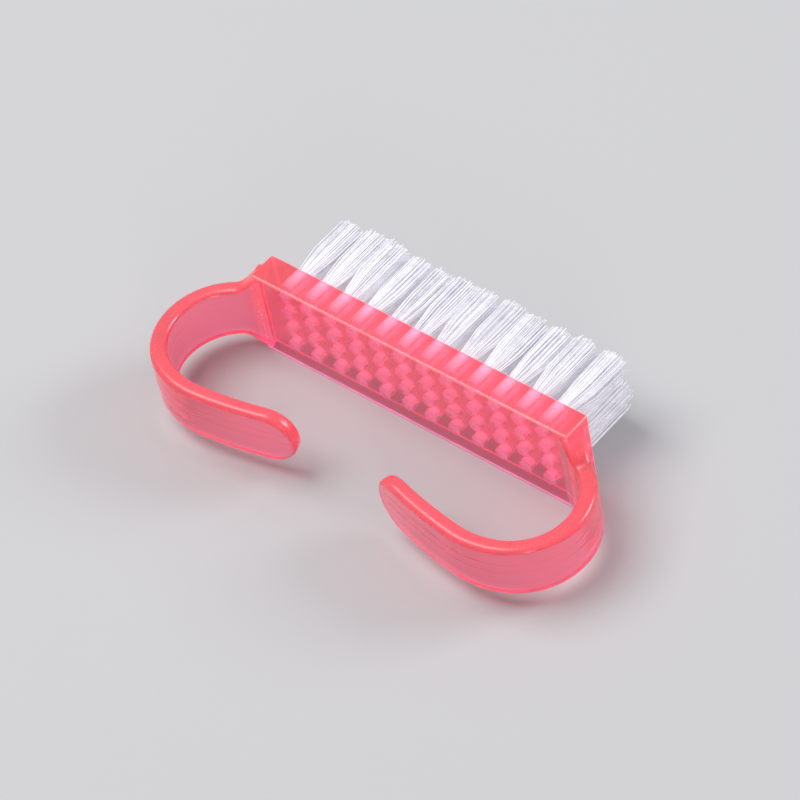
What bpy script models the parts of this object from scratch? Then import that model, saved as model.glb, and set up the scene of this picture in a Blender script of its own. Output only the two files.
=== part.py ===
"""Acrylic nail brush: one moulded handle and 48 filament tufts, each with a pocket for its flat metal anchor.

The brush lies on the long side of its block. X runs along the block, Y from the hooks to the bristles,
Z across the block's width. The origin is under the middle of the whole brush, on the surface it lies on.
"""
import math

import bpy
import bmesh
import numpy as np

MM = 0.001

# Handle block
BLOCK_LENGTH = 49.6 * MM
BLOCK_DEPTH = 4.2 * MM
BLOCK_WIDTH = 13.2 * MM
BLOCK_EDGE_RADIUS = 0.25 * MM

# Hooks: a strip that leaves the block's end, turns back and points to the middle
HOOK_START_BEYOND_END = 1.35 * MM
HOOK_START_OFF_BACK = 0.13 * MM
HOOK_START_HEADING = math.radians(-22.4)
HOOK_LEAD_IN = 3.2 * MM
HOOK_ARCS = (  # radius, sweep and steps of each
    (8.36 * MM, math.radians(135.0), 20),
    (12.3 * MM, math.radians(28.5), 4),
    (65.0 * MM, math.radians(12.1), 5),
)
STRIP_WIDTH = 7.9 * MM
STRIP_OFF_CENTRE = -0.3 * MM
STRIP_THICKNESS_ROOT = 2.34 * MM
STRIP_THICKNESS_TIP = 2.08 * MM
STRIP_EDGE_RADIUS = 0.75 * MM
STRIP_EDGE_STEPS = 3
FLARE_LENGTH = 2.9 * MM
FLARE_SWELL = 0.9 * MM
FLARE_POWER = 1.5
FLARE_STEPS = 6
TIP_STEPS = 12
TIP_CLEARANCE = 1.05  # straight outline points stop this many tip radii before the end

# Bristle field
COLUMNS = 12
ROWS = 4
COLUMN_PITCH = 3.69 * MM
ROW_PITCH = 2.82 * MM
HOLE_RADIUS = 0.92 * MM
HOLE_DEPTH = 2.75 * MM
HOLE_TOOL_OVERSHOOT = 1.0 * MM
ROUND_SIDES = 10
BRISTLE_LENGTH_TOP_ROW = 10.2 * MM
BRISTLE_STEP_PER_ROW = 0.2 * MM
TIP_RISE = 0.11 * MM

# Tufts inside the holes, each folded round the pocket of its anchor
HOLE_FLOOR_GAP = 0.2 * MM
TUFT_ROOT_RADIUS = 0.72 * MM
TUFT_TIP_RADIUS = 1.1 * MM
POCKET_HEIGHT = 1.35 * MM
POCKET_THICKNESS = 0.5 * MM
POCKET_TOOL_WIDTH = 4 * TUFT_ROOT_RADIUS
FOLD_THICKNESS = 0.45 * MM


def clear_scene():
    for obj in list(bpy.data.objects):
        bpy.data.objects.remove(obj, do_unlink=True)


def material(name, colour, roughness, metallic=0.0, transmission=0.0):
    mat = bpy.data.materials.new(name)
    mat.use_nodes = True
    shader = mat.node_tree.nodes["Principled BSDF"]
    shader.inputs["Base Color"].default_value = (*colour, 1.0)
    shader.inputs["Roughness"].default_value = roughness
    shader.inputs["Metallic"].default_value = metallic
    shader.inputs["Transmission Weight"].default_value = transmission
    return mat


def add_object(name, bm, mat=None, smooth_angle=35.0):
    """Turns a bmesh into a named object, smooth except across sharp edges."""
    mesh = bpy.data.meshes.new(name)
    bm.to_mesh(mesh)
    bm.free()
    mesh.shade_smooth()
    mesh.set_sharp_from_angle(angle=math.radians(smooth_angle))
    obj = bpy.data.objects.new(name, mesh)
    bpy.context.scene.collection.objects.link(obj)
    if mat:
        mesh.materials.append(mat)
    return obj


def as_tool(obj):
    obj.hide_render = True
    obj.display_type = "WIRE"
    return obj


def boolean(obj, tool, operation):
    mod = obj.modifiers.new(f"{operation.lower()} {tool.name}", "BOOLEAN")
    mod.operation = operation
    mod.solver = "EXACT"
    mod.object = tool


def closed(bm):
    """The same bmesh with all its faces turned outwards."""
    bmesh.ops.recalc_face_normals(bm, faces=bm.faces)
    return bm


def hook_path():
    """Centre line of the +X hook in the plane of the strip: places, headings and lengths along it.

    The block's end is at x = BLOCK_LENGTH / 2 and its back face at y = 0. A straight lead-in starts
    inside the block, and circular arcs follow it, each tangent to the one before.
    """
    heading = HOOK_START_HEADING
    start = np.array([BLOCK_LENGTH / 2 + HOOK_START_BEYOND_END, HOOK_START_OFF_BACK])
    ahead = np.array([math.cos(heading), math.sin(heading)])
    lead = np.linspace(-HOOK_LEAD_IN, 0.0, FLARE_STEPS + 1)
    points = [start + ahead * d for d in lead]
    headings = [heading] * len(points)
    lengths = list(lead + HOOK_LEAD_IN)
    for radius, sweep, steps in HOOK_ARCS:
        base, begin = points[-1], heading
        centre = base + radius * np.array([math.sin(begin), -math.cos(begin)])
        run = lengths[-1]
        for i in range(1, steps + 1):
            heading = begin - sweep * i / steps
            points.append(centre + radius * np.array([-math.sin(heading), math.cos(heading)]))
            headings.append(heading)
            lengths.append(run + radius * sweep * i / steps)
    return np.array(points), np.array(headings), np.array(lengths)


def flare(run):
    """Share of the root flare left at a length along the path: 1 inside the block, 0 past the flare."""
    block_end = HOOK_LEAD_IN - HOOK_START_BEYOND_END / math.cos(HOOK_START_HEADING)
    return np.clip(1.0 - (run - block_end) / FLARE_LENGTH, 0.0, 1.0) ** FLARE_POWER


def strip_half_width(run):
    """Half the strip's width: nearly the block's width at its end, easing down to the plain strip."""
    full = BLOCK_WIDTH / 2 - BLOCK_EDGE_RADIUS
    plain = STRIP_WIDTH / 2
    return plain + (full - plain) * flare(run)


def strip_middle(run):
    """Height of the strip's middle: the block's own middle at its end, then a little lower."""
    return BLOCK_WIDTH / 2 + STRIP_OFF_CENTRE * (1.0 - flare(run))


def strip_outline():
    """Outline of the flattened strip as (run, across) points with outward normals.

    It goes from the root along the lower edge, round the semicircular tip and back along the upper edge.
    """
    points, headings, lengths = hook_path()
    radius = STRIP_WIDTH / 2
    straight = lengths[lengths < lengths[-1] - radius * TIP_CLEARANCE]
    half = strip_half_width(straight)
    slope = np.gradient(half, straight)
    norm = np.hypot(slope, 1.0)
    lower = np.stack([straight, -half], 1)
    lower_normal = np.stack([-slope / norm, -1.0 / norm], 1)
    angle = np.linspace(-math.pi / 2, math.pi / 2, TIP_STEPS + 1)
    round_normal = np.stack([np.cos(angle), np.sin(angle)], 1)
    tip = np.array([lengths[-1] - radius, 0.0]) + radius * round_normal
    mirror = np.array([1.0, -1.0])
    outline = np.concatenate([lower, tip, lower[::-1] * mirror])
    normals = np.concatenate([lower_normal, round_normal, lower_normal[::-1] * mirror])
    return outline, normals


def strip_layers():
    """Layers through the thickness: height as a share of the flat part, height of rounding, inset."""
    angle = np.linspace(math.pi / 2, 0.0, STRIP_EDGE_STEPS + 1)
    rise = STRIP_EDGE_RADIUS * np.sin(angle)
    inset = STRIP_EDGE_RADIUS * (1.0 - np.cos(angle))
    sides = np.concatenate([-np.ones(len(angle)), np.ones(len(angle))])
    return sides, np.concatenate([-rise, rise[::-1]]), np.concatenate([inset, inset[::-1]])


def hook(name, side, back_y):
    """One hook as a closed solid: the flat strip with rounded edges, bent along the hook's path."""
    path, headings, lengths = hook_path()
    outline, normals = strip_outline()
    sides, rises, insets = strip_layers()
    count = len(outline)
    bm = bmesh.new()
    layers = []
    for flat_side, rise, inset in zip(sides, rises, insets):
        flat = outline - normals * inset
        run = np.clip(flat[:, 0], 0.0, lengths[-1])
        x = np.interp(run, lengths, path[:, 0])
        y = np.interp(run, lengths, path[:, 1])
        heading = np.interp(run, lengths, headings)
        half = (STRIP_THICKNESS_ROOT + (STRIP_THICKNESS_TIP - STRIP_THICKNESS_ROOT) * run / lengths[-1]) / 2
        offset = flat_side * (half - STRIP_EDGE_RADIUS) + rise
        offset = offset + FLARE_SWELL * flare(run) * (offset / half + 1.0) / 2
        x = x - np.sin(heading) * offset
        y = y + np.cos(heading) * offset
        z = flat[:, 1] + strip_middle(run)
        layers.append([bm.verts.new((side * a, b + back_y, c)) for a, b, c in zip(x, y, z)])
    for low, high in zip(layers, layers[1:]):
        for i in range(count - 1):
            bm.faces.new((low[i], low[i + 1], high[i + 1], high[i]))
    for face in (layers[0], layers[-1]):
        for i in range(count // 2):
            ring = [face[i], face[i + 1], face[count - 2 - i], face[count - 1 - i]]
            bm.faces.new(list(dict.fromkeys(ring)))
    bm.faces.new([layer[0] for layer in layers] + [layer[-1] for layer in layers[::-1]])
    return as_tool(add_object(name, closed(bm)))


def rounded_block(name, back_y, mat):
    bm = bmesh.new()
    bmesh.ops.create_cube(bm, size=1.0)
    bmesh.ops.scale(bm, vec=(BLOCK_LENGTH, BLOCK_DEPTH, BLOCK_WIDTH), verts=bm.verts)
    bmesh.ops.translate(bm, vec=(0.0, back_y + BLOCK_DEPTH / 2, BLOCK_WIDTH / 2), verts=bm.verts)
    bmesh.ops.bevel(bm, geom=bm.edges[:], offset=BLOCK_EDGE_RADIUS, segments=2, profile=0.5, affect="EDGES")
    return add_object(name, bm, mat)


def round_body(bm, stations, x):
    """A closed round body along Y at the given x, from (y, z of the centre, radius) stations."""
    rings = []
    for y, z, radius in stations:
        turns = [2 * math.pi * (i + 0.5) / ROUND_SIDES for i in range(ROUND_SIDES)]
        rings.append([bm.verts.new((x + radius * math.cos(t), y, z + radius * math.sin(t))) for t in turns])
    for low, high in zip(rings, rings[1:]):
        for i in range(ROUND_SIDES):
            j = (i + 1) % ROUND_SIDES
            bm.faces.new((low[i], low[j], high[j], high[i]))
    bm.faces.new(rings[0])
    bm.faces.new(rings[-1])


def hole_places():
    """Row (1 is uppermost), column (1 is at -X) and the X and Z of each hole's axis."""
    for row in range(ROWS):
        z = BLOCK_WIDTH / 2 + ((ROWS - 1) / 2 - row) * ROW_PITCH
        for column in range(COLUMNS):
            yield row + 1, column + 1, (column - (COLUMNS - 1) / 2) * COLUMN_PITCH, z


def bristle_length(row):
    return BRISTLE_LENGTH_TOP_ROW + BRISTLE_STEP_PER_ROW * (row - 1)


def tip_rise(row):
    """How far a row's bristle tips stand above its holes: the lower rows lean up towards the upper ones."""
    return TIP_RISE * (row - 1) ** 2


def tuft(name, row, x, z, front_y, mat):
    """A tuft as a plain bundle, with a pocket right through its root where the anchor sits."""
    root_y = front_y - HOLE_DEPTH + HOLE_FLOOR_GAP
    tip_y = front_y + bristle_length(row)
    stations = ((root_y, z, TUFT_ROOT_RADIUS), (front_y, z, TUFT_ROOT_RADIUS),
                (tip_y, z + tip_rise(row), TUFT_TIP_RADIUS))
    bm = bmesh.new()
    round_body(bm, stations, x)
    obj = add_object(name, closed(bm), mat)
    pocket = bmesh.new()
    bmesh.ops.create_cube(pocket, size=1.0)
    bmesh.ops.scale(pocket, vec=(POCKET_TOOL_WIDTH, POCKET_HEIGHT, POCKET_THICKNESS), verts=pocket.verts)
    middle = (x, root_y + FOLD_THICKNESS + POCKET_HEIGHT / 2, z)
    bmesh.ops.translate(pocket, vec=middle, verts=pocket.verts)
    boolean(obj, as_tool(add_object(name + "_pocket_tool", pocket)), "DIFFERENCE")
    return obj


def handle(back_y, mat):
    """Block and hooks as one moulding, with a blind hole for each tuft."""
    front_y = back_y + BLOCK_DEPTH
    obj = rounded_block("handle", back_y, mat)
    boolean(obj, hook("hook_tool_right", 1, back_y), "UNION")
    boolean(obj, hook("hook_tool_left", -1, back_y), "UNION")
    holes = bmesh.new()
    for _, _, x, z in hole_places():
        ends = (front_y - HOLE_DEPTH, front_y + HOLE_TOOL_OVERSHOOT)
        round_body(holes, [(y, z, HOLE_RADIUS) for y in ends], x)
    boolean(obj, as_tool(add_object("holes_tool", closed(holes))), "DIFFERENCE")
    return obj


def back_face_y():
    """Y of the block's back face that puts the origin half-way between hooks and bristle tips."""
    path, headings, lengths = hook_path()
    half = (STRIP_THICKNESS_ROOT + (STRIP_THICKNESS_TIP - STRIP_THICKNESS_ROOT) * lengths / lengths[-1]) / 2
    reach = -np.min(path[:, 1] + np.cos(headings) * half)
    return (reach - BLOCK_DEPTH - bristle_length(ROWS)) / 2


def build():
    clear_scene()
    plastic = material("pink_acrylic", (0.95, 0.09, 0.14), 0.12, transmission=0.6)
    nylon = material("white_nylon", (0.85, 0.85, 0.88), 0.4)
    back_y = back_face_y()
    front_y = back_y + BLOCK_DEPTH
    handle(back_y, plastic)
    for row, column, x, z in hole_places():
        tuft(f"tuft_row{row}_col{column:02d}", row, x, z, front_y, nylon)


build()
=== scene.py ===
import math

import bmesh
import bpy
import numpy as np
from mathutils import Matrix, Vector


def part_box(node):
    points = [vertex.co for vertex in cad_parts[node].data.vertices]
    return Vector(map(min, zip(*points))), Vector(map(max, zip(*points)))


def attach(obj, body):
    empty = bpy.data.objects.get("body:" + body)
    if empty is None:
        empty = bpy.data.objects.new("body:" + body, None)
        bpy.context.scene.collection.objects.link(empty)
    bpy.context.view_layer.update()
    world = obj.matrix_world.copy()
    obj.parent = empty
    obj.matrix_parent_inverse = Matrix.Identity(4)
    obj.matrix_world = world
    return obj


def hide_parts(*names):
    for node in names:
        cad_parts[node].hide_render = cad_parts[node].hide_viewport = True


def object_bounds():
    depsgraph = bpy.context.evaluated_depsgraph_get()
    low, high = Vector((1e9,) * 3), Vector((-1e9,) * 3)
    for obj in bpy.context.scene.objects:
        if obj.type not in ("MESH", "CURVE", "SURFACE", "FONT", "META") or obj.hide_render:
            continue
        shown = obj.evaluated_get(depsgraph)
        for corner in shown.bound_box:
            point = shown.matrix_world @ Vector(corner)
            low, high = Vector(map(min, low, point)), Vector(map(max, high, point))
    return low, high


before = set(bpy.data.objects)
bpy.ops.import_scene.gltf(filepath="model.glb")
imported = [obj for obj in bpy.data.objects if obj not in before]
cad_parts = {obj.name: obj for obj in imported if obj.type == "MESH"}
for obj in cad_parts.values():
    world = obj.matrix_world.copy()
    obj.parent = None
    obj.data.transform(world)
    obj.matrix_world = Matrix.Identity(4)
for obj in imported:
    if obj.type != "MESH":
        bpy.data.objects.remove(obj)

mm = 0.001
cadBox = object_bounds()     # the CAD model's box, before anything is added
handleLow, handleHigh = (np.array(corner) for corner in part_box("handle"))
frontY = float(handleHigh[1])                   # face of the block that holds the tufts
blockWidth = float(handleHigh[2] - handleLow[2])
bottomZ = float(handleLow[2])
rng = np.random.default_rng(7)


# Camera, floor and light.

viewChoice = {"lens": 170.53, "sensor": 36.0, "distance": 462.81, "aim": (-2.99, 1.725, 2.617),   # mm
              "azimuth": 48.75, "elevation": 47.226, "roll": -12.298,                             # degrees
              "clip": (0.01, 20.0)}                                                               # m


def addCamera(choice):
    # The camera looks at the aim point from a place on a sphere round it, then rolls about its own axis.
    azimuth, elevation, roll = (math.radians(choice[k]) for k in ("azimuth", "elevation", "roll"))
    back = np.array([math.sin(azimuth) * math.cos(elevation), -math.cos(azimuth) * math.cos(elevation),
                     math.sin(elevation)])
    level = np.cross(-back, [0.0, 0.0, 1.0])
    level /= np.linalg.norm(level)
    upright = np.cross(level, -back)
    right = math.cos(roll) * level + math.sin(roll) * upright
    up = math.cos(roll) * upright - math.sin(roll) * level
    place = (np.array(choice["aim"]) + back * choice["distance"]) * mm
    data = bpy.data.cameras.new("camera")
    data.lens = choice["lens"]
    data.sensor_width = choice["sensor"]
    data.clip_start, data.clip_end = choice["clip"]
    camera = bpy.data.objects.new("camera", data)
    bpy.context.scene.collection.objects.link(camera)
    turn = np.eye(4)
    turn[:3, 0], turn[:3, 1], turn[:3, 2], turn[:3, 3] = right, up, back, place
    camera.matrix_world = Matrix(turn.tolist())
    bpy.context.scene.camera = camera


floorChoice = {"size": 3.0, "colour": (0.46, 0.46, 0.47), "roughness": 0.6, "shine": 0.2}
lightChoices = {
    # name: (place in m, width in m, power in W, colour)
    "softboxAbove": ((-0.30, -0.12, 0.66), 0.50, 4.6, (1.0, 0.99, 0.97)),
    "softboxBehind": ((0.42, 0.52, 0.36), 0.30, 3.0, (0.97, 0.98, 1.0)),
    "softboxRight": ((0.50, -0.46, 0.26), 0.18, 0.6, (1.0, 1.0, 1.0)),
}
worldChoice = {"colour": (0.95, 0.96, 1.0), "strength": 0.5}
bounceChoice = {"most": 28, "diffuse": 12, "transmission": 24}


def addFloor(choice):
    size = choice["size"] / 2
    mesh = bpy.data.meshes.new("floor")
    corners = [(-size, -size, 0), (size, -size, 0), (size, size, 0), (-size, size, 0)]
    mesh.from_pydata(corners, [], [(0, 1, 2, 3)])
    floor = bpy.data.objects.new("floor", mesh)
    bpy.context.scene.collection.objects.link(floor)
    paper = bpy.data.materials.new("palePaper")
    paper.use_nodes = True
    shader = paper.node_tree.nodes["Principled BSDF"]
    shader.inputs["Base Color"].default_value = (*choice["colour"], 1.0)
    shader.inputs["Roughness"].default_value = choice["roughness"]
    shader.inputs["Specular IOR Level"].default_value = choice["shine"]
    mesh.materials.append(paper)


def addLights(choices, world):
    for name, (place, width, power, colour) in choices.items():
        data = bpy.data.lights.new(name, "AREA")
        data.size, data.energy, data.color = width, power, colour
        lamp = bpy.data.objects.new(name, data)
        bpy.context.scene.collection.objects.link(lamp)
        away = np.array(place) / np.linalg.norm(place)         # the lamp's back, so that it faces the origin
        side = np.cross([0.0, 0.0, 1.0], away)
        side /= np.linalg.norm(side)
        turn = np.eye(4)
        turn[:3, 0], turn[:3, 1], turn[:3, 2], turn[:3, 3] = side, np.cross(away, side), away, place
        lamp.matrix_world = Matrix(turn.tolist())
    sky = bpy.data.worlds.new("studio")
    sky.use_nodes = True
    glow = sky.node_tree.nodes["Background"]
    glow.inputs["Color"].default_value = (*world["colour"], 1.0)
    glow.inputs["Strength"].default_value = world["strength"]
    bpy.context.scene.world = sky


addCamera(viewChoice)
addFloor(floorChoice)
addLights(lightChoices, worldChoice)
bpy.context.scene.view_settings.view_transform = "Standard"
bouncing = bpy.context.scene.cycles        # light has to pass from filament to filament and through the block
bouncing.max_bounces = bounceChoice["most"]
bouncing.diffuse_bounces = bounceChoice["diffuse"]
bouncing.transmission_bounces = bounceChoice["transmission"]
print("stage: camera, floor and lights")


# Mesh and node tools that the pieces share.

def addPiece(name, points, faces, material):
    mesh = bpy.data.meshes.new(name)
    mesh.from_pydata(np.asarray(points).reshape(-1, 3).tolist(), [], faces)
    mesh.materials.append(material)
    piece = bpy.data.objects.new(name, mesh)
    bpy.context.scene.collection.objects.link(piece)
    return piece


def mergeAndTurnOut(mesh, distance=1e-6):
    # Doubled points become one, and every face looks outwards.
    bm = bmesh.new()
    bm.from_mesh(mesh)
    bmesh.ops.remove_doubles(bm, verts=bm.verts, dist=distance)
    bmesh.ops.dissolve_degenerate(bm, edges=bm.edges, dist=distance)
    bmesh.ops.recalc_face_normals(bm, faces=bm.faces)
    bm.to_mesh(mesh)
    bm.free()


def gridFaces(rows, columns):
    # Quads between neighbouring rows of points; the last column joins the first.
    r, c = np.meshgrid(np.arange(rows - 1), np.arange(columns), indexing="ij")
    nextC = (c + 1) % columns
    quads = [r * columns + c, r * columns + nextC, (r + 1) * columns + nextC, (r + 1) * columns + c]
    return np.stack(quads, -1).reshape(-1, 4)


def roundedBox(low, high, radius, steps):
    # Each corner is an eighth of a ball pushed out to its own corner of the box, so the flats and the
    # rounded edges are the quads that join one eighth to the next. Returns points and faces.
    low, high = np.asarray(low), np.asarray(high)
    quarter = np.linspace(0.0, math.pi / 2, steps + 1)
    turn = (np.arange(4)[:, None] * math.pi / 2 + quarter).ravel()
    lift = np.concatenate([quarter - math.pi / 2, quarter])[:, None]
    signX = np.repeat([1, -1, -1, 1], steps + 1)
    signY = np.repeat([1, 1, -1, -1], steps + 1)
    signZ = np.repeat([-1, 1], steps + 1)[:, None]
    parts = np.cos(lift) * np.cos(turn), np.cos(lift) * np.sin(turn), np.sin(lift)
    normal = np.stack(np.broadcast_arrays(*parts), -1)
    corner = np.stack(np.broadcast_arrays(signX + 0 * lift, signY + 0 * lift, signZ + 0 * turn), -1)
    points = (low + high) / 2 + corner * ((high - low) / 2 - radius) + radius * normal
    rows, columns = points.shape[:2]
    faces = gridFaces(rows, columns).tolist()
    first = [q * (steps + 1) for q in range(4)]
    faces.append(first[::-1])
    faces.append([(rows - 1) * columns + c for c in first])
    return points, faces


def nodeTools(material):
    # Short hands for adding nodes and links to one material.
    material.use_nodes = True
    tree = material.node_tree
    shader = tree.nodes["Principled BSDF"]

    def node(kind, inputs=None, **settings):
        made = tree.nodes.new(kind)
        for key, value in settings.items():
            setattr(made, key, value)
        for key, value in (inputs or {}).items():
            if hasattr(value, "is_linked"):
                tree.links.new(value, made.inputs[key])
            else:
                made.inputs[key].default_value = value
        return made

    return tree, shader, node


# Materials.

def colourMix(node, share, first, second, bounded=True):
    # share 0 gives the first colour and 1 the second; each is a colour or another node's output.
    mix = node("ShaderNodeMix", {0: share}, data_type="RGBA", clamp_factor=bounded)
    for socket, colour in ((6, first), (7, second)):
        if hasattr(colour, "is_linked"):
            mix.id_data.links.new(colour, mix.inputs[socket])
        else:
            mix.inputs[socket].default_value = (*colour, 1.0)
    return mix.outputs[2]


def mapped(node, value, start=(0.0, 1.0), to=(0.0, 1.0)):
    # The value carried from one span to another and held inside it.
    inputs = {"Value": value, "From Min": start[0], "From Max": start[1], "To Min": to[0], "To Max": to[1]}
    return node("ShaderNodeMapRange", inputs).outputs["Result"]


def joined(node, operation, first, second):
    # Two values or outputs added, multiplied or compared.
    return node("ShaderNodeMath", {0: first, 1: second}, operation=operation).outputs[0]


def noise(node, place, scale, detail):
    return node("ShaderNodeTexNoise", {"Vector": place, "Scale": scale, "Detail": detail}).outputs["Fac"]


blockChoice = {"length": 49.6 * mm, "depth": 4.2 * mm, "edgeRadius": 0.32 * mm, "edgeSteps": 4,
               "sharpAngle": 32.0}
plasticChoice = {
    # The third tint is painted light: warmer on the rims, where light gathers.
    "tint": (1.0, 0.62, 0.73), "cloudTint": (1.0, 0.50, 0.64), "paintedRimTint": (1.0, 0.46, 0.52),
    "cloud": (240.0, 3.0), "grain": (1500.0, 4.0),                    # noise scale and detail
    "grainSpan": (0.35, 0.7), "roughness": (0.04, 0.10), "rimRoughness": (0.0, 0.22), "boreRoughness": 0.42,
    "bump": 0.012, "bumpDistance": 0.1 * mm, "transmission": 0.87, "ior": 1.49,
    "absorbColour": (1.0, 0.06, 0.30), "absorbDensity": 360.0,
    # Painted glow: coral towards the upper side and pink towards the lower one.
    "glowUpper": (1.0, 0.12, 0.16), "glowLower": (1.0, 0.20, 0.48), "heightSpan": (1.5 * mm, 8.0 * mm),
    # Painted highlight: the glow turns paler where its share runs past 1.
    "paintedHighlightUpper": (1.0, 0.36, 0.34), "paintedHighlightLower": (1.0, 0.38, 0.72), "paintedHighlightSpan": (1.0, 1.6),
    # Painted light in the bores, and a weak painted glow on every face.
    "boreMouth": (1.0, 0.68, 0.88), "boreFloor": (0.92, 0.50, 1.0), "glowFace": 0.32, "glowStrength": 0.23,
    "patches": (0.74, 1.12), "patchSpan": (0.35, 0.65),
    # A painted light line along the lowest part of the back.
    "lipGlow": 1.8, "lipDepth": (1.3 * mm, 0.8 * mm), "lipHeight": (0.8 * mm, 0.55 * mm),
}


def lipGlow(node, y, z, choice):
    # A painted light line: full on the lowest part of the back, and fading out upwards and forwards.
    backY = frontY - blockChoice["depth"]
    behind = mapped(node, y, [backY + reach for reach in choice["lipDepth"]])
    low = mapped(node, z, [bottomZ + reach for reach in choice["lipHeight"]])
    return joined(node, "MULTIPLY", joined(node, "MULTIPLY", behind, low), choice["lipGlow"])


def makePlastic(choice):
    # The tint has faint clouds and a painted warmer tint on the rims, where light gathers. A painted glow,
    # standing in for light gathered in the fluorescent plastic, shows on rims, bores and end walls, in soft
    # patches, coral near the upper side and pink near the lower one, and is painted paler where it glows
    # most, as a highlight; the volume takes up green and blue light. The rims are satin and the drilled bores
    # matt.
    material = bpy.data.materials.new("fluorescentPinkPlastic")
    tree, shader, node = nodeTools(material)
    place = node("ShaderNodeTexCoord").outputs["Object"]
    # The rim attribute is the share of painted glow; it also sets the painted warmer rim tint and the satin
    # roughness.
    rim = node("ShaderNodeAttribute", attribute_name="rim").outputs["Fac"]
    bore = node("ShaderNodeAttribute", attribute_name="bore").outputs["Fac"]
    cloud = noise(node, place, *choice["cloud"])
    grain = noise(node, place, *choice["grain"])
    tint = colourMix(node, cloud, choice["tint"], choice["cloudTint"])
    # Painted light: the tint turns warmer on the rims, where light gathers.
    tree.links.new(colourMix(node, rim, tint, choice["paintedRimTint"]), shader.inputs["Base Color"])

    rough = mapped(node, grain, choice["grainSpan"], choice["roughness"])
    rough = joined(node, "ADD", rough, mapped(node, rim, to=choice["rimRoughness"]))
    rough = joined(node, "ADD", rough, joined(node, "MULTIPLY", bore, choice["boreRoughness"]))
    tree.links.new(rough, shader.inputs["Roughness"])
    bump = node("ShaderNodeBump", {"Height": grain, "Strength": choice["bump"],
                                   "Distance": choice["bumpDistance"]})
    tree.links.new(bump.outputs["Normal"], shader.inputs["Normal"])

    # The emission is painted glow, for light gathered in the fluorescent plastic, highlights and light seen
    # through it.
    split = node("ShaderNodeSeparateXYZ", {"Vector": place})
    upper = mapped(node, split.outputs["Z"], choice["heightSpan"])
    lip = lipGlow(node, split.outputs["Y"], split.outputs["Z"], choice)
    share = joined(node, "MAXIMUM", rim, lip)
    bright = mapped(node, share, choice["paintedHighlightSpan"])
    hue = colourMix(node, upper, choice["glowLower"], choice["glowUpper"])
    hue = colourMix(node, bright, hue, colourMix(node, upper, choice["paintedHighlightLower"], choice["paintedHighlightUpper"]))
    hue = colourMix(node, bore, hue, colourMix(node, bright, choice["boreFloor"], choice["boreMouth"]))
    share = joined(node, "MAXIMUM", share, choice["glowFace"])
    share = joined(node, "MULTIPLY", share, mapped(node, cloud, choice["patchSpan"], choice["patches"]))
    glow = colourMix(node, share, (0.0, 0.0, 0.0), hue, bounded=False)
    tree.links.new(glow, shader.inputs["Emission Color"])
    shader.inputs["Emission Strength"].default_value = choice["glowStrength"]
    shader.inputs["Transmission Weight"].default_value = choice["transmission"]
    shader.inputs["IOR"].default_value = choice["ior"]
    absorb = node("ShaderNodeVolumeAbsorption")
    absorb.inputs["Color"].default_value = (*choice["absorbColour"], 1.0)
    absorb.inputs["Density"].default_value = choice["absorbDensity"]
    tree.links.new(absorb.outputs["Volume"], tree.nodes["Material Output"].inputs["Volume"])
    return material


nylonChoice = {"pale": (0.77, 0.765, 0.795), "grey": (0.40, 0.39, 0.46), "streak": (900.0, 2.0), "ior": 1.53,
               "roughness": (0.24, 0.40), "throughLight": 0.5, "throughReach": 0.2 * mm,
               # Strength of the painted glow that stands in for light scattered between the filaments.
               "paintedScatterGlow": 0.23}


def makeNylon(choice):
    # Each filament is a little lighter or darker at random, with soft streaks, and painted shade greys the
    # filaments towards their tips. Light goes a little way into it, and a weak painted glow stands in for
    # light scattered from filament to filament into their shade.
    material = bpy.data.materials.new("whiteNylon")
    tree, shader, node = nodeTools(material)
    toneAndPaintedTipShade = node("ShaderNodeAttribute", attribute_name="toneAndPaintedTipShade").outputs["Fac"]
    place = node("ShaderNodeTexCoord").outputs["Object"]
    streak = noise(node, place, *choice["streak"])
    colour = colourMix(node, joined(node, "MULTIPLY", toneAndPaintedTipShade, streak), choice["pale"], choice["grey"])
    tree.links.new(colour, shader.inputs["Base Color"])
    # Painted glow in the filaments' own colour, for light scattered between them.
    tree.links.new(colour, shader.inputs["Emission Color"])
    tree.links.new(mapped(node, streak, to=choice["roughness"]), shader.inputs["Roughness"])
    shader.inputs["Subsurface Weight"].default_value = choice["throughLight"]
    shader.inputs["Subsurface Radius"].default_value = (1.0, 1.0, 1.0)
    shader.inputs["Subsurface Scale"].default_value = choice["throughReach"]
    shader.inputs["Emission Strength"].default_value = choice["paintedScatterGlow"]
    shader.inputs["IOR"].default_value = choice["ior"]
    return material


steelChoice = {"colour": (0.86, 0.85, 0.83), "dull": (0.70, 0.69, 0.68), "roughness": (0.3, 0.55),
               "stretch": (300.0, 4000.0, 4000.0), "drawn": (1.0, 3.0)}


def makeSteel(choice):
    # Flat drawn wire, with fine lines along it.
    material = bpy.data.materials.new("anchorSteel")
    tree, shader, node = nodeTools(material)
    place = node("ShaderNodeTexCoord").outputs["Object"]
    along = node("ShaderNodeMapping", {"Vector": place, "Scale": choice["stretch"]}).outputs["Vector"]
    drawn = noise(node, along, *choice["drawn"])
    tree.links.new(colourMix(node, drawn, choice["colour"], choice["dull"]), shader.inputs["Base Color"])
    tree.links.new(mapped(node, drawn, to=choice["roughness"]), shader.inputs["Roughness"])
    shader.inputs["Metallic"].default_value = 1.0
    return material


plastic = makePlastic(plasticChoice)
nylon = makeNylon(nylonChoice)
steel = makeSteel(steelChoice)
print("stage: materials")


# The bristle field, which the holes, tufts and anchors share.

fieldChoice = {"columns": 12, "rows": 4, "columnPitch": 3.69 * mm, "rowPitch": 2.82 * mm,
               "holeRadius": 0.92 * mm, "holeDepth": 2.75 * mm, "holeSides": 24, "drillPoint": 0.25 * mm,
               "pointShare": 0.02, "toolOvershoot": 1.0 * mm, "holeFloorGap": 0.2 * mm}


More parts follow.
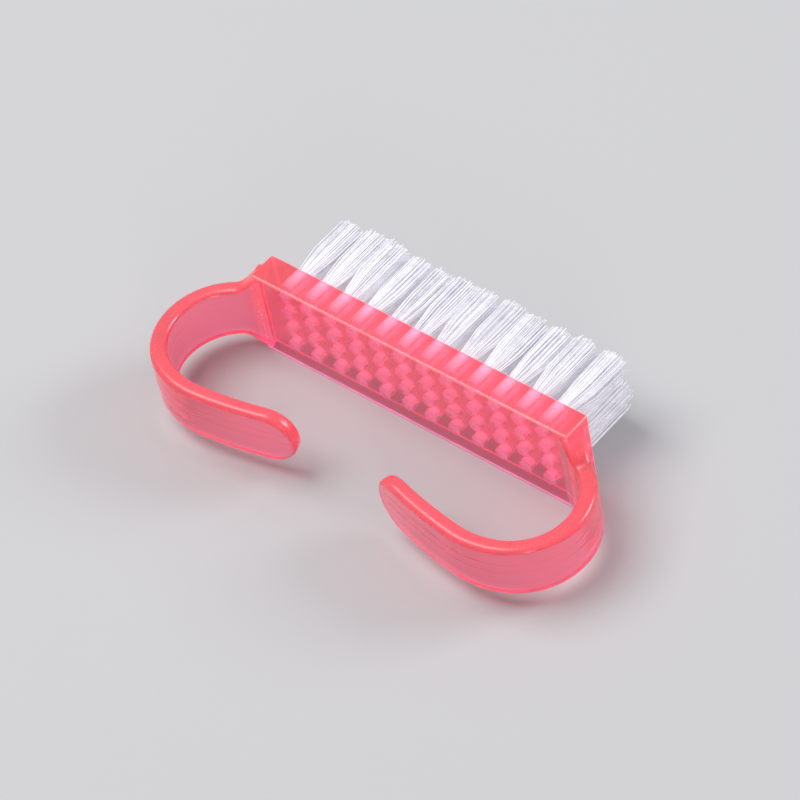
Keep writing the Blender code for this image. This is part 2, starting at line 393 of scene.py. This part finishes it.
def holePlaces(choice):
    # Row (1 is uppermost), column (1 is at -X) and the X and Z of each hole's axis.
    for row in range(choice["rows"]):
        z = bottomZ + blockWidth / 2 + ((choice["rows"] - 1) / 2 - row) * choice["rowPitch"]
        for column in range(choice["columns"]):
            x = (column - (choice["columns"] - 1) / 2) * choice["columnPitch"]
            yield row + 1, column + 1, x, z


# The handle: a block and two hooks in one moulding.

hookChoice = {
    "beyondEnd": 1.35 * mm, "offBack": 0.13 * mm, "heading": -22.4, "leadIn": 3.2 * mm,
    "arcs": ((8.36 * mm, 135.0), (12.3 * mm, 28.5), (65.0 * mm, 12.1)),     # radius and sweep in degrees
    "width": 7.9 * mm, "offCentre": -0.3 * mm, "thicknessRoot": 2.34 * mm, "thicknessTip": 2.08 * mm,
    "edgeRadius": 0.75 * mm, "flareLength": 2.9 * mm, "flareSwell": 0.9 * mm, "flarePower": 1.5,
    "pathSteps": 4000, "rungSpacing": 0.25 * mm, "tipRungs": 28, "edgeSteps": 6, "faceSteps": 32,
    "partingHeight": 0.045 * mm, "partingWidth": 0.10 * mm,
}


def hookPath(choice):
    # A straight lead-in, then circular arcs, each tangent to the one before: the heading falls
    # evenly along an arc, and place is the running sum of steps in the heading's direction.
    # Returns a fine table of length, place (x, y from the back face) and heading.
    begin = math.radians(choice["heading"])
    radii = [np.inf] + [radius for radius, _ in choice["arcs"]]
    spans = [choice["leadIn"]] + [radius * math.radians(sweep) for radius, sweep in choice["arcs"]]
    ends = np.cumsum([0.0] + spans)
    run = np.linspace(0.0, ends[-1], choice["pathSteps"] + 1)
    turned = sum(np.clip(run - low, 0.0, high - low) / radius
                 for radius, low, high in zip(radii, ends, ends[1:]))
    heading = begin - turned
    middle = (heading[1:] + heading[:-1]) / 2
    step = np.diff(run)[:, None] * np.stack([np.cos(middle), np.sin(middle)], 1)
    place = np.concatenate([np.zeros((1, 2)), np.cumsum(step, 0)])
    start = np.array([blockChoice["length"] / 2 + choice["beyondEnd"], choice["offBack"]])
    start = start - choice["leadIn"] * np.array([math.cos(begin), math.sin(begin)])
    return run, start + place, heading


def flareShare(run, choice):
    # 1 inside the block, easing to 0 where the flare ends.
    blockEnd = choice["leadIn"] - choice["beyondEnd"] / math.cos(math.radians(choice["heading"]))
    return np.clip(1.0 - (run - blockEnd) / choice["flareLength"], 0.0, 1.0) ** choice["flarePower"]


def hookSurface(side, choice):
    # A closed loop round the strip, carried along the hook. The strip's flat outline has straight sides and
    # a half-round end; each rung of the ladder joins two mirrored outline points. Round the loop, the two
    # wide faces are straight between the sides, and the two edges are half circles that draw the outline in
    # by edgeRadius * (1 - cos t) while they rise by edgeRadius * sin t. The wide faces carry a fine ridge
    # exp(-(across / width)^2) where the mould closed.
    lengths, path, headings = hookPath(choice)
    end, radius = lengths[-1], choice["width"] / 2
    blockHalf = blockWidth / 2 - blockChoice["edgeRadius"]
    straight = np.arange(0.0, end - radius, choice["rungSpacing"])
    half = radius + (blockHalf - radius) * flareShare(straight, choice)
    slope = np.gradient(half, straight)
    size = np.hypot(slope, 1.0)
    bend = np.linspace(0.0, math.pi / 2, choice["tipRungs"] + 1)
    run = np.concatenate([straight, end - radius + radius * np.sin(bend)])
    half = np.concatenate([half, radius * np.cos(bend)])
    normalRun = np.concatenate([-slope / size, np.sin(bend)])
    normalAcross = np.concatenate([1.0 / size, np.cos(bend)])

    t = np.linspace(math.pi / 2, -math.pi / 2, 2 * choice["edgeSteps"] + 1)
    u = np.linspace(-1.0, 1.0, choice["faceSteps"] + 1)[1:-1]
    draw = choice["edgeRadius"] * np.concatenate([1 - np.cos(t), 1 + 0 * u, 1 - np.cos(t), 1 + 0 * u])
    rise = choice["edgeRadius"] * np.concatenate([np.sin(t), -1 + 0 * u, -np.sin(t), 1 + 0 * u])
    flat = np.concatenate([0 * t + 1, -u, 0 * t - 1, u])          # share of the half width
    sign = np.sign(rise + 1e-12)

    alongRun = np.clip(run[:, None] - normalRun[:, None] * draw, 0.0, end)
    across = flat * (half[:, None] - normalAcross[:, None] * draw)
    middle = choice["offCentre"] * (1 - flareShare(alongRun, choice))
    thick = choice["thicknessRoot"] + (choice["thicknessTip"] - choice["thicknessRoot"]) * alongRun / end
    offset = sign * (thick / 2 - choice["edgeRadius"]) + rise
    offset = offset + choice["flareSwell"] * flareShare(alongRun, choice) * (offset / (thick / 2) + 1.0) / 2
    onFace = np.abs(rise) > 0.999 * choice["edgeRadius"]         # true on the two wide faces only
    ridge = choice["partingHeight"] * np.exp(-(across / choice["partingWidth"]) ** 2)
    offset = offset + sign * onFace * ridge
    x = np.interp(alongRun, lengths, path[:, 0])
    y = np.interp(alongRun, lengths, path[:, 1])
    heading = np.interp(alongRun, lengths, headings)
    points = np.stack([side * (x - np.sin(heading) * offset),
                       y + np.cos(heading) * offset + frontY - blockChoice["depth"],
                       across + middle + bottomZ + blockWidth / 2], -1)
    rows, columns = points.shape[:2]
    faces = gridFaces(rows, columns).tolist() + [list(range(columns))]
    return points, faces


def holeSurfaces(choice):
    # Each hole is a drill's shape: rings of one radius from past the front face down to the hole's depth,
    # then a cone to its point.
    sides, depth = choice["holeSides"], choice["holeDepth"]
    turn = np.arange(sides) * 2 * math.pi / sides
    y = frontY + np.array([choice["toolOvershoot"], -depth, -depth - choice["drillPoint"]])
    radius = choice["holeRadius"] * np.array([1.0, 1.0, choice["pointShare"]])
    points, faces = [], []
    for number, (_, _, x, z) in enumerate(holePlaces(choice)):
        ring = np.stack(np.broadcast_arrays(x + radius[:, None] * np.cos(turn), y[:, None],
                                            z + radius[:, None] * np.sin(turn)), -1)
        base = number * 3 * sides
        points.append(ring.reshape(-1, 3))
        faces += (gridFaces(3, sides) + base).tolist()
        faces += [list(range(base, base + sides)), list(range(base + 2 * sides, base + 3 * sides))]
    return np.concatenate(points), faces


markChoice = {
    "ejectorX": 21.3 * mm, "ejectorRadius": 0.9 * mm, "ejectorDepth": 0.035 * mm, "ejectorSides": 40,
    "toolOvershoot": 1.0 * mm,
    "gatePlace": (26.3 * mm, 0.1 * mm), "gateRadius": 0.5 * mm, "gateStretch": 1.4, "gateSides": 18,
    "gateTop": 4.72 * mm, "gateShares": (1.0, 1.0, 0.9, 0.5, 0.02),
    "gateLevels": (-0.9 * mm, -0.05 * mm, 0.0, 0.03 * mm, -0.02 * mm), "gateFoot": -0.5 * mm,
    "gateWaver": (0.15, 0.10), "gateRagged": 0.08 * mm,
}


def ejectorSurface(side, choice):
    # A flat disc as deep as the mark and rather taller: rings of one radius round a line along Z.
    count = choice["ejectorSides"]
    turn = np.arange(count) * 2 * math.pi / count
    top = bottomZ + blockWidth
    z = np.array([top - choice["ejectorDepth"], top + choice["toolOvershoot"]])[:, None]
    x = side * choice["ejectorX"] + choice["ejectorRadius"] * np.cos(turn)
    y = frontY - blockChoice["depth"] / 2 + choice["ejectorRadius"] * np.sin(turn)
    points = np.stack(np.broadcast_arrays(x, y, z), -1)
    return points, gridFaces(2, count).tolist() + [list(range(count))[::-1], list(range(count, 2 * count))]


def gateSurface(choice):
    # The stub left where the runner was snapped off: a short post whose radius and broken top waver with
    # the turn, by 1 + a sin 3t + b sin 5t, and by ragged * sin(2t + 5 share) above its foot.
    count = choice["gateSides"]
    turn = np.arange(count) * 2 * math.pi / count
    share = np.array(choice["gateShares"])[:, None]
    first, second = choice["gateWaver"]
    reach = choice["gateRadius"] * share
    waver = 1 + first * np.sin(3 * turn) + second * np.sin(5 * turn)
    x = choice["gatePlace"][0] + reach * waver * np.cos(turn)
    backY = frontY - blockChoice["depth"]
    y = backY + choice["gatePlace"][1] + choice["gateStretch"] * reach * np.sin(turn)
    level = np.array(choice["gateLevels"])[:, None]
    ragged = choice["gateRagged"] * np.sin(2 * turn + 5 * share) * (level > choice["gateFoot"])
    z = bottomZ + blockWidth / 2 + choice["gateTop"] + level + ragged
    points = np.stack(np.broadcast_arrays(x, y, z), -1)
    rows = points.shape[0]
    ends = [list(range(count))[::-1], list(range((rows - 1) * count, rows * count))]
    return points, gridFaces(rows, count).tolist() + ends


def combine(piece, tool, operation):
    # The tool is added to the piece or cut from it, and then it is gone.
    mod = piece.modifiers.new(operation, "BOOLEAN")
    mod.operation, mod.solver, mod.object = operation, "EXACT", tool
    shown = piece.evaluated_get(bpy.context.evaluated_depsgraph_get())
    mesh = bpy.data.meshes.new_from_object(shown)
    piece.modifiers.clear()
    old = piece.data
    mesh.name = piece.name
    piece.data = mesh
    bpy.data.meshes.remove(old)
    bpy.data.objects.remove(tool, do_unlink=True)


# How strongly each part of the plastic shows painted glow: the block's sides, its edges, the bores and the
# hooks. The glow stands in for light gathered in the fluorescent plastic; on the edges it is a painted
# highlight line, in the bores painted light from the filaments and glints, and on the bottom painted light
# over the shade where the block lies on the floor.
rimChoice = {
    "end": 0.55, "back": 0.10, "front": 0.15, "bottom": 0.95, "top": 0.42, "edge": 1.8,
    "boreMouth": 4.6, "boreFloor": 0.62, "boreUnder": 0.25,
    "hook": 0.86, "flare": 0.75, "upperFade": (0.25, 0.85), "lowerFade": (0.80, 0.99),
    # Painted internal reflection at the root of the hook at -X, and the stretch of the hook it covers.
    "paintedRootReflection": 1.0, "paintedRootReflectionRun": (0.6 * mm, 2.3 * mm), "innerFacing": -0.7,
    "pathStride": 10, "tight": 0.002 * mm, "outside": 0.02 * mm,
}


def fromPlanes(points):
    # Distances inwards from the block's ends, back, front, bottom and top.
    backY = frontY - blockChoice["depth"]
    return np.array([blockChoice["length"] / 2 - np.abs(points[:, 0]), points[:, 1] - backY,
                     frontY - points[:, 1], points[:, 2] - bottomZ, bottomZ + blockWidth - points[:, 2]])


def meshArray(items, key, width=1, kind=float):
    values = np.zeros(len(items) * width, kind)
    items.foreach_get(key, values)
    return values.reshape(-1, width) if width > 1 else values


def hookShares(points, normals, choice, rims):
    # Painted glow on the hooks: 1 where the surface looks along the strip's edge or end and 0 on its wide
    # faces, by sqrt(1 - (n . through the strip)^2) faded between two values; or, if that is more, the flare's
    # share outside the curl, and a painted strip of internal reflection inside it at the root of the hook at
    # -X.
    lengths, path, headings = (column[::rims["pathStride"]] for column in hookPath(choice))
    flat = np.stack([np.abs(points[:, 0]), points[:, 1] - frontY + blockChoice["depth"]], 1)
    near = np.argmin(((flat[:, None] - path[None]) ** 2).sum(-1), 1)
    through = np.stack([-np.sin(headings[near]) * np.sign(points[:, 0]), np.cos(headings[near])], 1)
    facing = (normals[:, :2] * through).sum(1)
    low, high = (np.where(normals[:, 2] < 0, rims["lowerFade"][k], rims["upperFade"][k]) for k in (0, 1))
    edge = np.clip((np.sqrt(np.clip(1 - facing ** 2, 0, 1)) - low) / (high - low), 0, 1)
    inner = facing < rims["innerFacing"]
    start, stop = rims["paintedRootReflectionRun"]
    # Painted internal reflection on the inner face at the root of the hook at -X.
    paintedRootReflection = inner & (lengths[near] > start) & (lengths[near] < stop) & (points[:, 0] < 0)
    flare = rims["flare"] * flareShare(lengths[near], choice) * ~inner
    return rims["hook"] * np.maximum(np.maximum(edge, flare), rims["paintedRootReflection"] * paintedRootReflection)


def boreShares(places, rims):
    # Painted glow in the bores, for light from the white filaments and glints: most on a bore's upper wall at
    # its mouth, less below, and one value at its floor.
    depth = np.clip((frontY - places[:, 1]) / fieldChoice["holeDepth"], 0, 1)
    level = (places[:, 2] - bottomZ - blockWidth / 2) / fieldChoice["rowPitch"] + fieldChoice["rows"] / 2
    above = np.clip((level % 1.0 - 0.5) * fieldChoice["rowPitch"] / fieldChoice["holeRadius"], 0, 1)
    mouth = rims["boreMouth"] * (rims["boreUnder"] + (1 - rims["boreUnder"]) * above)
    return mouth + (rims["boreFloor"] - mouth) * depth


def markRims(mesh, choice, rims):
    # Each face corner gets how strongly the painted glow shows there: by its place on a hook, in a bore, on
    # one of the block's flat sides or on a rounded edge, which fades into the flat side it meets.
    points = meshArray(mesh.vertices, "co", 3)
    onHook = hookShares(points, meshArray(mesh.vertex_normals, "vector", 3), choice, rims)
    sides = ("end", "back", "front", "bottom", "top")
    onBlock = np.full(len(points), rims["edge"])
    for name, gap in zip(sides, fromPlanes(points)):
        onBlock[np.abs(gap) < rims["tight"]] = rims[name]

    vertexOf = meshArray(mesh.loops, "vertex_index", kind=np.int32)
    sizes = meshArray(mesh.polygons, "loop_total", kind=np.int32)
    faceOf = np.repeat(np.arange(len(mesh.polygons)), sizes)
    gaps = fromPlanes(meshArray(mesh.polygons, "center", 3))
    hookFace = (gaps[0] < -rims["outside"]) | (gaps[1] < -rims["outside"])
    rim = np.where(hookFace[faceOf], onHook[vertexOf], onBlock[vertexOf])
    for name, gap in zip(sides, gaps):
        slack = rims["tight"] + (markChoice["ejectorDepth"] if name == "top" else 0.0)
        rim[((np.abs(gap) < slack) & ~hookFace)[faceOf]] = rims[name]
    inBore = (~hookFace & (gaps.min(0) > blockChoice["edgeRadius"]))[faceOf]
    rim[inBore] = boreShares(points[vertexOf], rims)[inBore]
    mesh.attributes.new("rim", "FLOAT", "CORNER").data.foreach_set("value", rim)
    mesh.attributes.new("bore", "FLOAT", "CORNER").data.foreach_set("value", inBore.astype(float))


def buildHandle():
    half = blockChoice["length"] / 2
    low = (-half, frontY - blockChoice["depth"], bottomZ)
    high = (half, frontY, bottomZ + blockWidth)
    points, faces = roundedBox(low, high, blockChoice["edgeRadius"], blockChoice["edgeSteps"])
    handle = addPiece("pink_handle", points, faces, plastic)
    mergeAndTurnOut(handle.data)
    for side in (1, -1):
        hook = addPiece("hookTool", *hookSurface(side, hookChoice), plastic)
        mergeAndTurnOut(hook.data)
        combine(handle, hook, "UNION")
        mark = addPiece("ejectorTool", *ejectorSurface(side, markChoice), plastic)
        combine(handle, mark, "DIFFERENCE")
    gate = addPiece("gateTool", *gateSurface(markChoice), plastic)
    mergeAndTurnOut(gate.data)
    combine(handle, gate, "UNION")
    holes = addPiece("holesTool", *holeSurfaces(fieldChoice), plastic)
    mergeAndTurnOut(holes.data)
    combine(handle, holes, "DIFFERENCE")
    mesh = handle.data
    mesh.shade_smooth()
    mesh.set_sharp_from_angle(angle=math.radians(blockChoice["sharpAngle"]))
    markRims(mesh, hookChoice, rimChoice)
    weighted = handle.modifiers.new("weighted normals", "WEIGHTED_NORMAL")
    weighted.keep_sharp = True
    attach(handle, "root")
    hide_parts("handle")
    return handle


handlePiece = buildHandle()
print("stage: handle,", len(handlePiece.data.polygons), "faces")


# The tufts: filaments folded in half round their anchors.

tuftChoice = {
    "strands": 60, "filamentRadius": 0.074 * mm, "sides": 5, "sharpAngle": 75.0, "rootRadius": 0.82 * mm,
    "tipRadius": (1.78 * mm, 1.50 * mm), "tipSpread": 0.11 * mm, "tipRise": 0.19 * mm,
    "rings": (1.0, 0.46, 0.13, 0.0), "splay": 4.0, "bow": 0.03 * mm, "lean": 0.24 * mm, "fan": 0.10 * mm,
    "lengthTopRow": 10.35 * mm, "lengthPerRow": 0.2 * mm, "lengthSpread": 0.30 * mm, "cutSlope": 0.24,
    # The filaments are greyed towards their tips by painted shade.
    "beyondCad": 0.2 * mm, "paintedTipShade": 0.5, "pairing": 0.001, "anchorClearance": 0.27 * mm,
    "foldHeight": 0.45 * mm, "foldRings": 5, "foldShare": (0.35, 0.65),
    "strays": {(1, 5): (-1.1 * mm, 0.5 * mm), (1, 9): (0.7 * mm, 0.6 * mm)},     # row and column: bow
}
golden = math.pi * (3 - math.sqrt(5))


def strandLines(row, x, z, choice, field, stray):
    # Roots lie on a sunflower spiral (radius ~ sqrt(i), angle ~ i * golden angle), half of them above the
    # anchor; each strand's other leg is its mirror image below. From the mouth of the hole a leg runs to
    # its tip as root + (tip - root) * (1 - (1 - v)^splay), bowed by sin(pi v), so it spreads early and
    # then runs straight; under the anchor the two legs join in a half ellipse. Returns strand centre lines
    # as an array of strands, rings, xyz.
    count = choice["strands"]
    i = np.arange(2 * count)
    spiral = choice["rootRadius"] * np.sqrt((i + 0.5) / (2 * count))
    turn = i * golden + rng.uniform(0, 2 * math.pi)
    rootX, rootZ = spiral * np.cos(turn), spiral * np.sin(turn)
    order = np.argsort(np.abs(rootZ) * 1000 + choice["pairing"] * i)     # by height in mm, then by number
    rootX, rootZ = rootX[order][::2][:count], np.abs(rootZ[order][::2][:count])
    keep = choice["anchorClearance"]
    rootZ = keep + rootZ * (1 - keep / choice["rootRadius"])
    length = choice["lengthTopRow"] + choice["lengthPerRow"] * (row - 1)
    leanX, leanZ = rng.normal(0, choice["lean"], 2)
    leanX = leanX + choice["fan"] * (x / (field["columns"] * field["columnPitch"] / 2)) ** 3
    cutX, cutZ = rng.normal(0, choice["cutSlope"], 2)
    spreadX, spreadZ = (radius / choice["rootRadius"] for radius in choice["tipRadius"])
    v = np.array(choice["rings"])
    out, bulge = 1 - (1 - v) ** choice["splay"], np.sin(math.pi * v)
    legs = []
    for sign in (1, -1):
        footZ = sign * rootZ
        tipX = rootX * spreadX + rng.normal(0, choice["tipSpread"], count) + leanX
        tipZ = footZ * spreadZ + rng.normal(0, choice["tipSpread"], count) + leanZ
        tipZ = tipZ + choice["tipRise"] * (row - 1) ** 2
        cut = cutX * (tipX - leanX) + cutZ * (tipZ - leanZ)
        tipY = frontY + length - np.abs(cut + rng.normal(0, choice["lengthSpread"], count))
        bowX, bowZ = rng.normal(0, choice["bow"], (2, count))
        tipY = np.minimum(tipY, cadBox[1][1] + choice["beyondCad"])
        if sign == 1 and stray:
            bowX[0], bowZ[0] = stray
        legX = rootX[:, None] + (tipX - rootX)[:, None] * out + bowX[:, None] * bulge
        legZ = footZ[:, None] + (tipZ - footZ)[:, None] * out + bowZ[:, None] * bulge
        legY = frontY + (tipY - frontY)[:, None] * v
        legs.append(np.stack([legX, legY, legZ], -1))
    bend = np.linspace(0.0, math.pi, choice["foldRings"])
    foldX = np.repeat(rootX[:, None], choice["foldRings"], 1)
    foldZ = rootZ[:, None] * np.cos(bend)
    least, more = choice["foldShare"]
    drop = (choice["foldHeight"] - choice["filamentRadius"]) * (least + more * rootZ / choice["rootRadius"])
    floorY = frontY - field["holeDepth"] + field["holeFloorGap"]
    foldY = floorY + choice["foldHeight"] - drop[:, None] * np.sin(bend)
    fold = np.stack([foldX, foldY, foldZ], -1)
    lines = np.concatenate([legs[0], fold, legs[1][:, ::-1]], 1)
    return lines + np.array([x, 0.0, z])


def tubeSurfaces(lines, radius, sides):
    # A circle of the filament's radius carried along each line, square to it, with flat cut ends:
    # centre + radius * (cos t * b + sin t * n), where b is X made square to the line and n = line x b.
    ahead = np.gradient(lines, axis=1)
    ahead /= np.linalg.norm(ahead, axis=-1, keepdims=True)
    b = np.array([1.0, 0.0, 0.0]) - ahead[..., :1] * ahead
    b /= np.linalg.norm(b, axis=-1, keepdims=True)
    n = np.cross(ahead, b)
    t = (np.arange(sides) * 2 * math.pi / sides)[:, None]
    points = lines[:, :, None] + radius * (np.cos(t) * b[:, :, None] + np.sin(t) * n[:, :, None])
    count, rings = lines.shape[:2]
    base = (np.arange(count) * rings * sides)[:, None, None]
    quads = (gridFaces(rings, sides)[None] + base).reshape(-1, 4).tolist()
    first = (np.arange(sides)[::-1] + base[:, 0]).tolist()
    last = (np.arange(sides) + (rings - 1) * sides + base[:, 0]).tolist()
    return points, quads + first + last


def buildTufts(choice, field):
    faces = 0
    for row, column, x, z in holePlaces(field):
        lines = strandLines(row, x, z, choice, field, choice["strays"].get((row, column)))
        points, quads = tubeSurfaces(lines, choice["filamentRadius"], choice["sides"])
        label = f"row{row}_col{column:02d}"
        piece = addPiece("filaments_" + label, points, quads, nylon)
        mesh = piece.data
        mesh.shade_smooth()
        mesh.set_sharp_from_angle(angle=math.radians(choice["sharpAngle"]))
        along = np.clip((lines[..., 1] - frontY) / choice["lengthTopRow"], 0, 1)
        # Each strand's random lightness, plus painted shade that greys the filaments towards their tips.
        toneAndPaintedTipShade = np.clip(rng.uniform(0, 1, (len(lines), 1)) + choice["paintedTipShade"] * along ** 3, 0, 1)
        toneAndPaintedTipShade = np.repeat(toneAndPaintedTipShade.ravel(), choice["sides"])
        mesh.attributes.new("toneAndPaintedTipShade", "FLOAT", "POINT").data.foreach_set("value", toneAndPaintedTipShade)
        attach(piece, "root")
        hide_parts("tuft_" + label)
        faces += len(mesh.polygons)
    return faces


print("stage: tufts,", buildTufts(tuftChoice, fieldChoice), "faces")


# The anchors: short pieces of flat wire that hold the folds down.

anchorChoice = {"width": 1.9 * mm, "height": 1.25 * mm, "thickness": 0.34 * mm, "edgeRadius": 0.08 * mm,
                "edgeSteps": 2, "sharpAngle": 50.0, "weld": 1e-7, "aboveFloor": 0.65 * mm}


def buildAnchors(choice, field):
    for row, column, x, z in holePlaces(field):
        low = np.array([x - choice["width"] / 2, frontY - field["holeDepth"] + choice["aboveFloor"],
                        z - choice["thickness"] / 2])
        high = low + np.array([choice["width"], choice["height"], choice["thickness"]])
        points, faces = roundedBox(low, high, choice["edgeRadius"], choice["edgeSteps"])
        piece = addPiece(f"anchor_row{row}_col{column:02d}", points, faces, steel)
        mergeAndTurnOut(piece.data, choice["weld"])
        piece.data.shade_smooth()
        piece.data.set_sharp_from_angle(angle=math.radians(choice["sharpAngle"]))
        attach(piece, "root")


buildAnchors(anchorChoice, fieldChoice)
print("stage: anchors")
